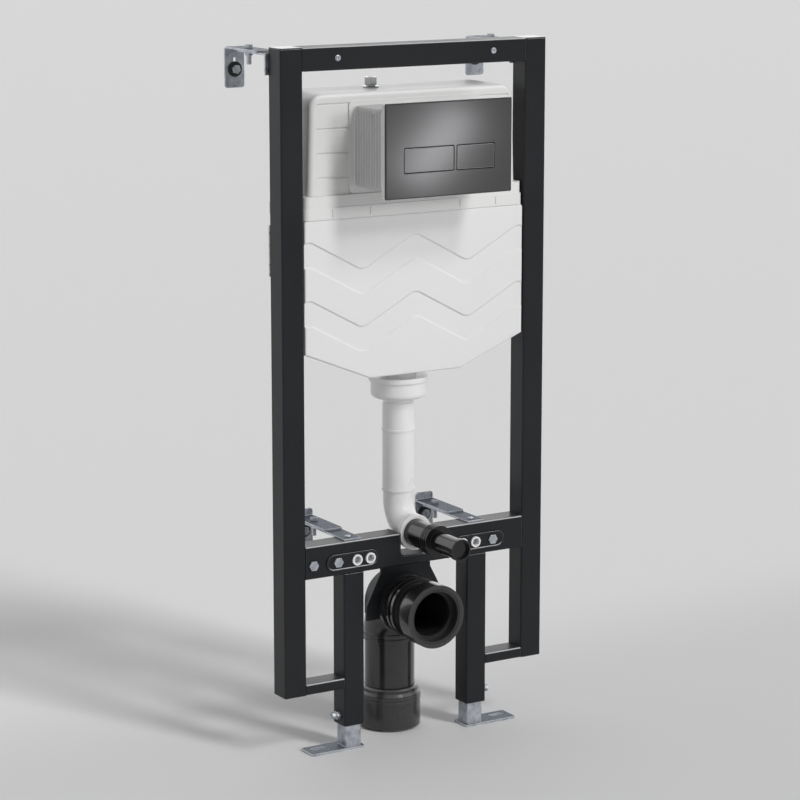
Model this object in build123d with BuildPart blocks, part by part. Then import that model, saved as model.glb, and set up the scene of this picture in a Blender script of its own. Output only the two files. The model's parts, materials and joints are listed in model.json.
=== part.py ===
from build123d import *
import os

# Installation frame for a wall hung toilet, with its cistern, flush plate and pipes.
# While it is drawn, X = 0 is the middle of the frame, Y = 0 the front of the posts and Z = 0 the
# finished floor. Each piece is moved to the part's own origin when it is written: the anchor hole
# on the wall side of the upper left wall angle.

# Square steel tube frame
frame_width = 500
post_length = 1055
post_bottom = 107
tube = 40
tube_wall = 2
tube_radius = 3
cap_thickness = 2
top_rail_height = 38
cross_rail_height = 55
cross_rail_bottom = 302
lower_rail_height = 18

# Telescopic legs
leg_width = 38
leg_wall = 2
leg_x = 119.5
leg_bottom = 41.5
foot_tube = 30
foot_wall = 2.5
foot_length = 240
foot_plate_length = 100
foot_plate_width = 40
foot_plate_thickness = 4
foot_plate_overlap = 19.5
foot_slot_length = 26
foot_slot_width = 10
foot_slot_from_end = 24
foot_slot_from_front = 25
clamp_height = 16
clamp_bolt_radius = 4
clamp_nut_radius = 7.5
clamp_nut_thickness = 6.5
clamp_head_radius = 6
clamp_head_thickness = 5
clamp_tail = 3

# Places that the toilet connects to
stud_above_rail_bottom = 22.5
drain_below_studs = 99.5
flush_above_drain = 130
stud_spacings = (180, 230)
stud_hole_radius = 6.25
stud_sleeve_radius = 8
stud_flange_radius = 9.2
stud_flange_thickness = 3
stud_plate_x = 123.5
stud_plate_length = 97
stud_plate_height = 27
stud_plate_thickness = 2.5
stud_plate_rim = 1.5
stud_plate_pocket = 1
stud_pocket_slope = 45

# Wall side
wall_y = 172
bracket_width = 35
bracket_thickness = 3
bracket_plate_height = 67
bracket_flange_length = 105
bracket_corner = 5
bracket_bend = 5
bracket_hole_radius = 5.5
bracket_slot_length = 9
bracket_slot_width = 5
bracket_slot_above_hole = 15
bracket_hole_from_bottom = 30
upper_bracket_shift = -11
upper_flange_below_top = 7
lower_plate_above_flange = 12
arm_behind_bolt = 13
upper_arm_width = 28
upper_arm_tab_height = 34
lower_arm_width = 32
lower_arm_front = 4
arm_bolt_radius = 4
arm_bolt_head_radius = 7
arm_bolt_head_height = 5.5
upper_bolt_from_wall = 52
lower_bolt_from_wall = 38
arm_bolt_tail = 20
arm_slot_length = 24

# Cistern
cistern_depth = 100
cistern_front = 20
cistern_wall = 4
cistern_below_post_top = 73
cistern_height = 457
cistern_seam_below_top = 181
cistern_side_height = 409
cistern_side_gap = 10
cistern_bottom_half = 84
cistern_corner = 10
upper_front = 8
upper_set_in = 3
upper_corner = 24
upper_top_set_in = 5
upper_edge = 9
ledge_count = 4
ledge_spacing = 39
ledge_from_top = 17
ledge_end = 181
ledge_height = 3
ledge_depth = 1.5
outlet_y = 58.5
outlet_radius = 30
belt_top_below_cistern_top = 162
belt_height = 38
belt_front = 1.5
belt_side_gap = 2.5
belt_back = 126
belt_step = 1.5
belt_rib_x = (85, 155)
belt_rib_width = 3
belt_rib_height = 12
belt_rib_above_bottom = 4
belt_rib_proud = 1.2
hanger_height = 83
hanger_above_cistern_bottom = 167
hanger_thickness = 3
hanger_depth = 60

# Front cover
cover_thickness = 18
cover_side_below_belt = 216
cover_bottom_below_cistern = 8
cover_bottom_half = 87
cover_corner = 14
cover_top_corner = 5
cover_edge = 3

# Two sunken bands that zigzag across the cover
wave_length = 200
wave_rise = 54
wave_round = 20
wave_depth = 2.5
wave_wall_slope = 45
band_height = 43
band_spacing = 94.5
band_valley_above_cover_bottom = 42.5

# Flush plate, its collar and its buttons
plate_width = 236
plate_height = 151
plate_above_belt_top = 1
plate_front = -99
plate_depth = 8
plate_skin = 3
plate_corner = 2
plate_bevel = 1
well_wall = 2
collar_side_inset = 3
collar_end_inset = 11
collar_flange_inset = 1.5
collar_flange_depth = 11
collar_wall = 3
collar_corner = 8
access_frame_margin = 8
access_frame_front = 5
access_frame_depth = 14
button_height = 38
button_above_plate_bottom = 41
large_button_left = -83
large_button_width = 91
small_button_left = 15
small_button_width = 70
button_gap = 0.8
button_thickness = 6
button_corner = 2
button_edge = 0.5

# Water inlet on the cistern
inlet_x = -45
inlet_y = 70
inlet_nut_radius = 11
inlet_nut_height = 12
inlet_neck_radius = 8
inlet_neck_height = 5
inlet_washer_radius = 13
inlet_washer_height = 2.5
inlet_bore_radius = 5

# Flush pipe
cup_radius = 46
cup_height = 29
cup_rim_radius = 49
cup_rim_height = 8
cup_below_cistern = 57
cup_floor = 8
cup_round = 9
flush_radius = 26.5
flush_bore = 23.3
flush_neck_radius = 25.2
flush_neck_length = 7
flush_shoulder = 1
flush_flange_radius = 29.8
flush_flange_thickness = 4
flush_joint_above_outlet = 66
flush_bead = 1.2
flush_bead_height = 4
flush_bead_share = 4 / 11
elbow_radius = 25.4
elbow_bend = 48
elbow_end_y = 2
elbow_collar_radius = 30
elbow_collar_length = 11
plug_sleeve_depth = 8
plug_sleeve_length = 81
plug_ring_count = 4
plug_ring_radius = 26.5
plug_ring_length = 2.5
plug_ring_spacing = 5.5
plug_grip_radius = 16.8
plug_grip_length = 60
plug_disc_radius = 18.5
plug_disc_length = 8
plug_disc_rim = 3
plug_disc_recess = 6
notch_half_width = 32
notch_above_rail_bottom = 15
notch_corner = 10
saddle_thickness = 1.5

# Drain
drain_y = 87
drain_radius = 42.5
drain_wall = 3.5
bend_radius = 58
bend_body_radius = 44
bend_bore = 40
bend_tail = 12
bend_bead = 2
bend_bead_height = 4.5
bend_bead_spacing = 8.5
drain_front = -63
drain_socket_radius = 53.5
drain_socket_bore = 47
drain_socket_depth = 25
drain_socket_back = 4
ring_radius = 52
ring_length = 6
ring_gap = 7
ring_back = 12
seal_radius = 37
seal_channel_radius = 42.5
seal_land = 8
seal_setback = 0.5
floor_socket_radius = 52.5
floor_socket_bore = 48
floor_socket_top = 66
floor_socket_shoulder = 5
floor_socket_bottom = 4
floor_socket_depth = 50
socket_lip_radius = 49.5
socket_lip_height = 7.5
socket_lip_edge = 2.5
socket_line_radius = 53.5
socket_line_height = 2.5
socket_line_z = (49, 55.5)
holder_neck = 48
holder_neck_above_drain = 59
holder_shoulder = 65
holder_shoulder_above_drain = 27
holder_half_width = 76
holder_side_above_drain = 4
holder_bottom_below_drain = 20
holder_front = 34
holder_thickness = 4
holder_opening = 50
holder_hood = 42
holder_wall = 3

# Gap between pieces that are pushed together
fit_gap = 0.3

sides = (("left", -1), ("right", 1))
half_width = frame_width / 2
post_x = half_width - tube / 2
inner_half = half_width - tube
post_top = post_bottom + post_length
frame_top = post_top + cap_thickness
cistern_top = post_top - cistern_below_post_top
cistern_seam = cistern_top - cistern_seam_below_top
cistern_bottom = cistern_top - cistern_height
cistern_side_bottom = cistern_top - cistern_side_height
belt_top = cistern_top - belt_top_below_cistern_top
belt_bottom = belt_top - belt_height
hanger_bottom = cistern_bottom + hanger_above_cistern_bottom
cover_side_bottom = belt_bottom - cover_side_below_belt
cover_bottom = cistern_bottom - cover_bottom_below_cistern
band_valley = cover_bottom + band_valley_above_cover_bottom
cup_bottom = cistern_bottom - cup_below_cistern
cross_rail_top = cross_rail_bottom + cross_rail_height
notch_bottom = cross_rail_bottom + notch_above_rail_bottom
stud_z = cross_rail_bottom + stud_above_rail_bottom
drain_z = stud_z - drain_below_studs
flush_z = drain_z + flush_above_drain
upper_bracket_x = [sign * post_x + upper_bracket_shift for side, sign in sides]
upper_flange_top = frame_top - upper_flange_below_top
leg_y = leg_width / 2
leg_outer = leg_x + leg_width / 2
upper_bolt_y = wall_y - upper_bolt_from_wall
lower_bolt_y = wall_y - lower_bolt_from_wall
upper_arm_top = upper_flange_top - bracket_thickness
lower_flange_top = cross_rail_top + 2 * bracket_thickness
stud_places = [(sign * spacing / 2, stud_z) for spacing in stud_spacings for sign in (-1, 1)]
pieces = []


def front_plane(y):
    # Upright plane at depth y, seen from the front: extruding by a positive amount comes forward
    return Plane.XZ.offset(-y)


def keep(part, name):
    part.label = name
    pieces.append(part)


# Posts: square tube with rounded corners
for side, sign in sides:
    with BuildPart() as post:
        with BuildSketch(Plane.XY.offset(post_bottom)):
            with Locations((sign * post_x, tube / 2)):
                RectangleRounded(tube, tube, tube_radius)
                RectangleRounded(
                    tube - 2 * tube_wall,
                    tube - 2 * tube_wall,
                    tube_radius - tube_wall,
                    mode=Mode.SUBTRACT,
                )
        extrude(amount=post_length)
    keep(post.part, f"{side}_post")

# A moulded cap closes the top of each post
with BuildPart() as post_caps:
    with BuildSketch(Plane.XY.offset(post_top)):
        with Locations((-post_x, tube / 2), (post_x, tube / 2)):
            RectangleRounded(tube, tube, tube_radius)
    extrude(amount=cap_thickness)
keep(post_caps.part, "post_caps")

# Top rail between the posts
with BuildPart() as top_rail:
    with BuildSketch(Plane.YZ.offset(-inner_half)):
        with Locations((tube / 2, frame_top - top_rail_height / 2)):
            RectangleRounded(tube, top_rail_height, tube_radius)
            RectangleRounded(
                tube - 2 * tube_wall,
                top_rail_height - 2 * tube_wall,
                tube_radius - tube_wall,
                mode=Mode.SUBTRACT,
            )
    extrude(amount=2 * inner_half)
keep(top_rail.part, "top_rail")

# Cross rail that carries the toilet, notched for the flush elbow and bored for the studs
with BuildPart() as cross_rail:
    with BuildSketch(Plane.YZ.offset(-inner_half)):
        with Locations((tube / 2, cross_rail_bottom + cross_rail_height / 2)):
            RectangleRounded(tube, cross_rail_height, tube_radius)
            RectangleRounded(
                tube - 2 * tube_wall,
                cross_rail_height - 2 * tube_wall,
                tube_radius - tube_wall,
                mode=Mode.SUBTRACT,
            )
    extrude(amount=2 * inner_half)
    with BuildSketch(front_plane(tube)):
        with Locations((0, cross_rail_top)):
            RectangleRounded(
                2 * notch_half_width, 2 * (cross_rail_top - notch_bottom), notch_corner
            )
        with Locations(*stud_places):
            Circle(stud_sleeve_radius + fit_gap)
    extrude(amount=tube, mode=Mode.SUBTRACT)
keep(cross_rail.part, "cross_rail")

# Bent strip that lines the notch of the cross rail
with BuildPart() as pipe_saddle:
    with BuildSketch(front_plane(tube)):
        with Locations((0, cross_rail_top)):
            for inset in (fit_gap, saddle_thickness + fit_gap):
                RectangleRounded(
                    2 * (notch_half_width - inset),
                    2 * (cross_rail_top - notch_bottom - inset),
                    notch_corner - inset,
                    mode=Mode.ADD if inset == fit_gap else Mode.SUBTRACT,
                )
            Rectangle(
                2 * notch_half_width,
                cross_rail_top - notch_bottom,
                align=(Align.CENTER, Align.MIN),
                mode=Mode.SUBTRACT,
            )
    extrude(amount=tube)
keep(pipe_saddle.part, "pipe_saddle")

# Short rails between each leg and its post
for side, sign in sides:
    with BuildPart() as lower_rail:
        with BuildSketch(Plane.YZ.offset(sign * leg_outer)):
            with Locations((leg_y, post_bottom + lower_rail_height / 2)):
                RectangleRounded(leg_width, lower_rail_height, tube_radius)
                RectangleRounded(
                    leg_width - 2 * tube_wall,
                    lower_rail_height - 2 * tube_wall,
                    tube_radius - tube_wall,
                    mode=Mode.SUBTRACT,
                )
        extrude(amount=sign * (inner_half - leg_outer))
    keep(lower_rail.part, f"{side}_lower_rail")

# Legs: fixed outer tubes under the cross rail, each bored for its clamp bolt
for side, sign in sides:
    with BuildPart() as leg:
        with BuildSketch(Plane.XY.offset(leg_bottom)):
            with Locations((sign * leg_x, leg_y)):
                RectangleRounded(leg_width, leg_width, tube_radius)
                RectangleRounded(
                    leg_width - 2 * leg_wall,
                    leg_width - 2 * leg_wall,
                    tube_radius - leg_wall,
                    mode=Mode.SUBTRACT,
                )
        extrude(amount=cross_rail_bottom - leg_bottom)
        with BuildSketch(Plane.YZ.offset(sign * leg_outer)):
            with Locations((leg_y, leg_bottom + clamp_height)):
                Circle(clamp_bolt_radius + fit_gap)
        extrude(amount=-sign * leg_wall, mode=Mode.SUBTRACT)
    keep(leg.part, f"{side}_leg")

# Feet: inner tubes that slide in the legs, welded to slotted floor plates
for side, sign in sides:
    with BuildPart() as foot:
        with BuildSketch(Plane.XY.offset(foot_plate_thickness)):
            with Locations((sign * leg_x, leg_y)):
                RectangleRounded(foot_tube, foot_tube, tube_radius)
                RectangleRounded(
                    foot_tube - 2 * foot_wall,
                    foot_tube - 2 * foot_wall,
                    tube_radius - foot_wall,
                    mode=Mode.SUBTRACT,
                )
        extrude(amount=foot_length)
        plate_inner_end = leg_x - foot_plate_overlap
        with BuildSketch():
            with Locations((sign * (plate_inner_end + foot_plate_length / 2), foot_plate_width / 2)):
                RectangleRounded(foot_plate_length, foot_plate_width, tube_radius)
            slot_x = plate_inner_end + foot_plate_length - foot_slot_from_end
            with Locations((sign * slot_x, foot_slot_from_front)):
                SlotOverall(foot_slot_length, foot_slot_width, mode=Mode.SUBTRACT)
        extrude(amount=foot_plate_thickness)
    keep(foot.part, f"{side}_foot")

# Clamp bolts that hold the feet at their height, each with its nut on the outside of the leg
with BuildPart() as leg_clamp_bolts:
    for side, sign in sides:
        tip_x = sign * (leg_x + foot_tube / 2 + fit_gap)
        nut_x = sign * (leg_outer + clamp_nut_thickness)
        head_x = nut_x + sign * clamp_tail
        with BuildSketch(Plane.YZ.offset(tip_x)):
            with Locations((leg_y, leg_bottom + clamp_height)):
                Circle(clamp_bolt_radius)
        extrude(amount=head_x - tip_x)
        with BuildSketch(Plane.YZ.offset(sign * leg_outer)):
            with Locations((leg_y, leg_bottom + clamp_height)):
                RegularPolygon(clamp_nut_radius, 6)
        extrude(amount=sign * clamp_nut_thickness)
        with BuildSketch(Plane.YZ.offset(head_x)):
            with Locations((leg_y, leg_bottom + clamp_height)):
                RegularPolygon(clamp_head_radius, 6)
        extrude(amount=sign * clamp_head_thickness)
keep(leg_clamp_bolts.part, "leg_clamp_bolts")


def wall_angle(x, flange_top, rise, bolt_y):
    # Plate on the wall with a flange that reaches forward, welded in one piece
    plate_bottom = flange_top + rise - bracket_plate_height
    with BuildPart() as angle:
        with BuildSketch(Plane.YZ.offset(x - bracket_width / 2)):
            with Locations((wall_y, plate_bottom)):
                Rectangle(
                    bracket_thickness, bracket_plate_height, align=(Align.MAX, Align.MIN)
                )
            with Locations((wall_y, flange_top)):
                Rectangle(
                    bracket_flange_length, bracket_thickness, align=(Align.MAX, Align.MAX)
                )
        extrude(amount=bracket_width)
        if rise == 0:
            bend = angle.edges().filter_by(Axis.X).group_by(Axis.Z)[-1].sort_by(Axis.Y)[-1]
            fillet(bend, bracket_bend)
        along_y = angle.edges().filter_by(Axis.Y)
        plate_corners = [edge for edge in along_y if edge.length < bracket_thickness + fit_gap]
        fillet(plate_corners, bracket_corner)
        fillet(angle.edges().filter_by(Axis.Z).group_by(Axis.Y)[0], bracket_corner)
        hole_z = plate_bottom + bracket_hole_from_bottom
        with BuildSketch(front_plane(wall_y)):
            with Locations((x, hole_z)):
                Circle(bracket_hole_radius)
            with Locations((x, hole_z + bracket_slot_above_hole)):
                SlotOverall(bracket_slot_length, bracket_slot_width, rotation=90)
        extrude(amount=bracket_thickness, mode=Mode.SUBTRACT)
        with BuildSketch(Plane.XY.offset(flange_top)):
            with Locations((x, bolt_y)):
                Circle(arm_bolt_radius + fit_gap)
        extrude(amount=-bracket_thickness, mode=Mode.SUBTRACT)
    return angle.part


for (side, sign), x in zip(sides, upper_bracket_x):
    angle = wall_angle(x, upper_flange_top, 0, upper_bolt_y)
    keep(angle, f"upper_{side}_wall_angle")
for side, sign in sides:
    angle = wall_angle(sign * leg_x, lower_flange_top, lower_plate_above_flange, lower_bolt_y)
    keep(angle, f"lower_{side}_wall_angle")


def arm(x, front, top, width, bolt_y):
    # Flat arm under the flange, slotted for the bolt that sets the distance to the wall
    back = bolt_y + arm_behind_bolt
    with BuildPart() as arm_plate:
        with BuildSketch(Plane.XY.offset(top)):
            with Locations((x, front)):
                Rectangle(width, back - front, align=(Align.CENTER, Align.MIN))
            with Locations((x, bolt_y)):
                SlotOverall(
                    arm_slot_length,
                    2 * (arm_bolt_radius + fit_gap),
                    rotation=90,
                    mode=Mode.SUBTRACT,
                )
        extrude(amount=-bracket_thickness)
    return arm_plate.part


# Upper arms, each with a tab down the back of its post
for (side, sign), x in zip(sides, upper_bracket_x):
    with BuildPart() as upper_arm:
        add(arm(x, tube, upper_arm_top, upper_arm_width, upper_bolt_y))
        with BuildSketch(Plane.XY.offset(upper_arm_top)):
            with Locations((x, tube)):
                Rectangle(
                    upper_arm_width, bracket_thickness, align=(Align.CENTER, Align.MIN)
                )
        extrude(amount=-upper_arm_tab_height)
    keep(upper_arm.part, f"upper_{side}_arm")

# Lower arms lie on the cross rail
for side, sign in sides:
    lower_arm_top = cross_rail_top + bracket_thickness
    lower_arm = arm(sign * leg_x, lower_arm_front, lower_arm_top, lower_arm_width, lower_bolt_y)
    keep(lower_arm, f"lower_{side}_arm")

# One bolt and nut through each flange and arm
bolt_tops = [(x, upper_bolt_y, upper_flange_top) for x in upper_bracket_x]
bolt_tops += [(sign * leg_x, lower_bolt_y, lower_flange_top) for side, sign in sides]
with BuildPart() as bracket_bolts:
    for x, bolt_y, top in bolt_tops:
        with BuildSketch(Plane.XY.offset(top)):
            with Locations((x, bolt_y)):
                RegularPolygon(arm_bolt_head_radius, 6)
        extrude(amount=arm_bolt_head_height)
        with BuildSketch(Plane.XY.offset(top)):
            with Locations((x, bolt_y)):
                Circle(arm_bolt_radius)
        extrude(amount=-2 * bracket_thickness - arm_bolt_tail)
        with BuildSketch(Plane.XY.offset(top - 2 * bracket_thickness)):
            with Locations((x, bolt_y)):
                RegularPolygon(arm_bolt_head_radius, 6)
        extrude(amount=-arm_bolt_head_height)
keep(bracket_bolts.part, "bracket_bolts")

# Stud plates on the front of the cross rail, each with a shallow pressed pocket
for side, sign in sides:
    with BuildPart() as stud_plate:
        with BuildSketch(front_plane(0)):
            with Locations((sign * stud_plate_x, stud_z)):
                SlotOverall(stud_plate_length, stud_plate_height)
            with Locations(*stud_places):
                Circle(stud_sleeve_radius + fit_gap, mode=Mode.SUBTRACT)
        extrude(amount=stud_plate_thickness)
        with BuildSketch(front_plane(-stud_plate_thickness)):
            with Locations((sign * stud_plate_x, stud_z)):
                SlotOverall(
                    stud_plate_length - 2 * stud_plate_rim, stud_plate_height - 2 * stud_plate_rim
                )
        extrude(amount=-stud_plate_pocket, taper=stud_pocket_slope, mode=Mode.SUBTRACT)
    keep(stud_plate.part, f"{side}_stud_plate")

# Sleeves that guide the studs through the rail, with a flange in the stud plate's pocket
pocket_floor = stud_plate_thickness - stud_plate_pocket
with BuildPart() as stud_sleeves:
    with BuildSketch(front_plane(tube)):
        with Locations(*stud_places):
            Circle(stud_sleeve_radius)
    extrude(amount=tube + pocket_floor)
    with BuildSketch(front_plane(-pocket_floor)):
        with Locations(*stud_places):
            Circle(stud_flange_radius)
    extrude(amount=stud_flange_thickness)
    with BuildSketch(front_plane(tube)):
        with Locations(*stud_places):
            Circle(stud_hole_radius)
    extrude(amount=tube + pocket_floor + stud_flange_thickness, mode=Mode.SUBTRACT)
keep(stud_sleeves.part, "stud_sleeves")

# Lower half of the cistern: an open tub whose bottom narrows to the outlet
boss_bottom = cup_bottom + cup_floor + flush_flange_thickness + 2 * fit_gap
cistern_half_width = inner_half - cistern_side_gap
with BuildPart() as cistern_lower:
    with BuildSketch(front_plane(cistern_front + cistern_depth)):
        Polygon(
            (-cistern_half_width, cistern_seam),
            (-cistern_half_width, cistern_side_bottom),
            (-cistern_bottom_half, cistern_bottom),
            (cistern_bottom_half, cistern_bottom),
            (cistern_half_width, cistern_side_bottom),
            (cistern_half_width, cistern_seam),
            align=None,
        )
    extrude(amount=cistern_depth)
    fillet(cistern_lower.edges().filter_by(Axis.Z), cistern_corner)
    offset(amount=-cistern_wall, openings=cistern_lower.faces().sort_by(Axis.Z)[-1])
    with BuildSketch(Plane.XY.offset(boss_bottom)):
        with Locations((0, outlet_y)):
            Circle(outlet_radius)
    extrude(amount=cistern_bottom + cistern_wall - boss_bottom)
    with BuildSketch(Plane.XY.offset(boss_bottom)):
        with Locations((0, outlet_y)):
            Circle(flush_bore)
    extrude(amount=cistern_bottom + cistern_wall - boss_bottom, mode=Mode.SUBTRACT)
keep(cistern_lower.part, "cistern_lower")

# Upper half: a hood with soft edges and short ledges, with a raised frame and a window for the
# flush plate
plate_bottom = belt_top + plate_above_belt_top
plate_middle_z = plate_bottom + plate_height / 2
collar_width = plate_width - 2 * collar_side_inset
collar_height = plate_height - 2 * collar_end_inset
access_top = plate_middle_z + collar_height / 2 + access_frame_margin
access_bottom = belt_top + fit_gap
access_half = collar_width / 2 + access_frame_margin
cistern_back = cistern_front + cistern_depth
upper_half_width = cistern_half_width - upper_set_in
upper_top_half = upper_half_width - upper_top_set_in
ledge_middle_x = (ledge_end + access_half) / 2
top_ledge_z = cistern_top - ledge_from_top
with BuildPart() as cistern_upper:
    with BuildSketch(front_plane(cistern_back)) as hood_outline:
        Polygon(
            (-upper_half_width, cistern_seam),
            (upper_half_width, cistern_seam),
            (upper_top_half, cistern_top),
            (-upper_top_half, cistern_top),
            align=None,
        )
        fillet(hood_outline.vertices().group_by(Axis.Y)[-1], upper_corner)
    extrude(amount=cistern_back - upper_front)
    rims = cistern_upper.faces().sort_by(Axis.Y)
    soft_edges = rims[0].edges() + rims[-1].edges()
    fillet([edge for edge in soft_edges if edge.center().Z > cistern_seam + fit_gap], upper_edge)
    offset(amount=-cistern_wall, openings=cistern_upper.faces().sort_by(Axis.Z)[0])
    for ledge in range(ledge_count):
        with BuildSketch(front_plane(upper_front + ledge_depth)):
            for side, sign in sides:
                with Locations((sign * ledge_middle_x, top_ledge_z - ledge * ledge_spacing)):
                    Rectangle(ledge_end - access_half, ledge_height)
        extrude(amount=ledge_depth, mode=Mode.SUBTRACT)
    with BuildSketch(front_plane(access_frame_front + access_frame_depth)):
        with Locations((0, (access_bottom + access_top) / 2)):
            RectangleRounded(2 * access_half, access_top - access_bottom, collar_corner)
    extrude(amount=access_frame_depth)
    with BuildSketch(front_plane(access_frame_front + access_frame_depth)):
        with Locations((0, plate_middle_z)):
            RectangleRounded(
                collar_width - 2 * collar_wall,
                collar_height - 2 * collar_wall,
                collar_corner - collar_wall,
            )
    extrude(amount=access_frame_depth, mode=Mode.SUBTRACT)
keep(cistern_upper.part, "cistern_upper")

# Belt round the joint of the two halves, in two strips, the lower one proud
belt_half = inner_half - belt_side_gap
strips = (
    (belt_bottom, cistern_seam, 0, cistern_half_width, cistern_front, cistern_corner),
    (cistern_seam, belt_top, belt_step, upper_half_width, upper_front, upper_edge),
)
with BuildPart() as cistern_belt:
    for bottom, top, step, tank_half, tank_front, tank_corner in strips:
        with BuildSketch(Plane.XY.offset(bottom)):
            with Locations((0, (belt_front + belt_back) / 2)):
                RectangleRounded(
                    2 * (belt_half - step), belt_back - belt_front - 2 * step, cistern_corner
                )
            with Locations((0, (tank_front + cistern_back) / 2)):
                RectangleRounded(
                    2 * (tank_half + fit_gap),
                    cistern_back - tank_front + 2 * fit_gap,
                    tank_corner + fit_gap,
                    mode=Mode.SUBTRACT,
                )
        extrude(amount=top - bottom)
    with BuildSketch(front_plane(belt_front + belt_rib_proud)):
        rib_z = belt_bottom + belt_rib_above_bottom + belt_rib_height / 2
        with Locations(*[(sign * x, rib_z) for x in belt_rib_x for side, sign in sides]):
            Rectangle(belt_rib_width, belt_rib_height)
    extrude(amount=2 * belt_rib_proud)
keep(cistern_belt.part, "cistern_belt")

# Hangers: thin plates behind the posts, folded back along the cistern's sides
with BuildPart() as cistern_hangers:
    with BuildSketch(Plane.XY.offset(hanger_bottom)):
        for side, sign in sides:
            hanger_inner = cistern_half_width + fit_gap
            with Locations((sign * (hanger_inner + half_width) / 2, tube)):
                Rectangle(
                    half_width - hanger_inner, hanger_thickness, align=(Align.CENTER, Align.MIN)
                )
            with Locations((sign * (hanger_inner + hanger_thickness / 2), tube)):
                Rectangle(hanger_thickness, hanger_depth, align=(Align.CENTER, Align.MIN))
    extrude(amount=hanger_height)
keep(cistern_hangers.part, "cistern_hangers")

# Front cover: foam moulding with soft edges and two sunken bands that zigzag from side to side
cover_back = cistern_front - fit_gap
cover_front = cover_back - cover_thickness
wave_xs = [step * wave_length / 2 for step in range(-3, 4)]
wave_zs = [wave_rise * (step % 2 == 1) for step in range(7)]
with BuildPart() as front_cover:
    with BuildSketch(front_plane(cover_back)) as outline:
        Polygon(
            (-belt_half, belt_bottom),
            (-belt_half, cover_side_bottom),
            (-cover_bottom_half, cover_bottom),
            (cover_bottom_half, cover_bottom),
            (belt_half, cover_side_bottom),
            (belt_half, belt_bottom),
            align=None,
        )
        corners = outline.vertices().group_by(Axis.Y)
        fillet(corners[-1], cover_top_corner)
        fillet(outline.vertices().group_by(Axis.Y)[0], cover_corner)
    extrude(amount=cover_thickness)
    fillet(front_cover.faces().sort_by(Axis.Y)[0].edges(), cover_edge)
    for valley in (band_valley, band_valley + band_spacing):
        with BuildSketch(front_plane(cover_front)):
            with BuildLine():
                lower_line = FilletPolyline(
                    *[(x, valley + z) for x, z in zip(wave_xs, wave_zs)], radius=wave_round
                )
                upper_line = FilletPolyline(
                    *[(x, valley + z + band_height) for x, z in zip(wave_xs, wave_zs)],
                    radius=wave_round,
                )
                Line(lower_line @ 0, upper_line @ 0)
                Line(lower_line @ 1, upper_line @ 1)
            make_face()
        extrude(amount=-wave_depth, taper=wave_wall_slope, mode=Mode.SUBTRACT)
keep(front_cover.part, "front_cover")

# Collar: the tunnel from the cistern's window to a deep flange behind the flush plate
skin_back = plate_front + plate_skin
collar_front = skin_back + fit_gap
with BuildPart() as access_collar:
    with BuildSketch(front_plane(access_frame_front)):
        with Locations((0, plate_middle_z)):
            RectangleRounded(collar_width, collar_height, collar_corner)
            RectangleRounded(
                collar_width - 2 * collar_wall,
                collar_height - 2 * collar_wall,
                collar_corner - collar_wall,
                mode=Mode.SUBTRACT,
            )
    extrude(amount=access_frame_front - collar_front)
    with BuildSketch(front_plane(collar_front + collar_flange_depth)):
        with Locations((0, plate_middle_z)):
            RectangleRounded(
                plate_width - 2 * collar_flange_inset,
                plate_height - 2 * collar_flange_inset,
                plate_corner,
            )
            Rectangle(
                collar_width - 2 * collar_wall,
                collar_height - 2 * collar_wall,
                mode=Mode.SUBTRACT,
            )
    extrude(amount=collar_flange_depth)
keep(access_collar.part, "access_collar")

# Buttons: two keys that lie flush in the plate
button_bottom = plate_bottom + button_above_plate_bottom
buttons = (
    ("large_button", large_button_left, large_button_width),
    ("small_button", small_button_left, small_button_width),
)
for name, left, width in buttons:
    with BuildPart() as button:
        with BuildSketch(front_plane(plate_front + button_thickness)):
            with Locations((left + width / 2, button_bottom + button_height / 2)):
                RectangleRounded(width, button_height, button_corner)
        extrude(amount=button_thickness)
        fillet(button.faces().sort_by(Axis.Y)[0].edges(), button_edge)
    keep(button.part, name)

# Flush plate: a bevelled slab with a walled well behind it that guides the buttons
plate_back = plate_front + plate_depth
well_margin = button_gap + well_wall
well_left = large_button_left - well_margin
well_right = small_button_left + small_button_width + well_margin
with BuildPart() as flush_plate:
    with BuildSketch(front_plane(skin_back)):
        with Locations((0, plate_middle_z)):
            RectangleRounded(plate_width, plate_height, plate_corner)
    extrude(amount=plate_skin)
    chamfer(flush_plate.faces().sort_by(Axis.Y)[0].edges(), plate_bevel)
    with BuildSketch(front_plane(plate_back)):
        with Locations(((well_left + well_right) / 2, button_bottom + button_height / 2)):
            Rectangle(well_right - well_left, button_height + 2 * well_margin)
    extrude(amount=plate_depth - plate_skin)
    for name, left, width in buttons:
        with BuildSketch(front_plane(plate_back)):
            with Locations((left + width / 2, button_bottom + button_height / 2)):
                RectangleRounded(
                    width + 2 * button_gap, button_height + 2 * button_gap, button_corner
                )
        extrude(amount=plate_depth, mode=Mode.SUBTRACT)
keep(flush_plate.part, "flush_plate")

# Water inlet: hexagon nut on a short neck with a washer
with BuildPart() as inlet_nut:
    with BuildSketch(Plane.XY.offset(cistern_top)):
        with Locations((inlet_x, inlet_y)):
            Circle(inlet_washer_radius)
    extrude(amount=inlet_washer_height)
    with BuildSketch(Plane.XY.offset(cistern_top)):
        with Locations((inlet_x, inlet_y)):
            Circle(inlet_neck_radius)
    extrude(amount=inlet_neck_height)
    with BuildSketch(Plane.XY.offset(cistern_top + inlet_neck_height)):
        with Locations((inlet_x, inlet_y)):
            RegularPolygon(inlet_nut_radius, 6)
    extrude(amount=inlet_nut_height)
    with BuildSketch(Plane.XY.offset(cistern_top + inlet_neck_height)):
        with Locations((inlet_x, inlet_y)):
            Circle(inlet_bore_radius)
    extrude(amount=inlet_nut_height, mode=Mode.SUBTRACT)
keep(inlet_nut.part, "inlet_nut")

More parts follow.
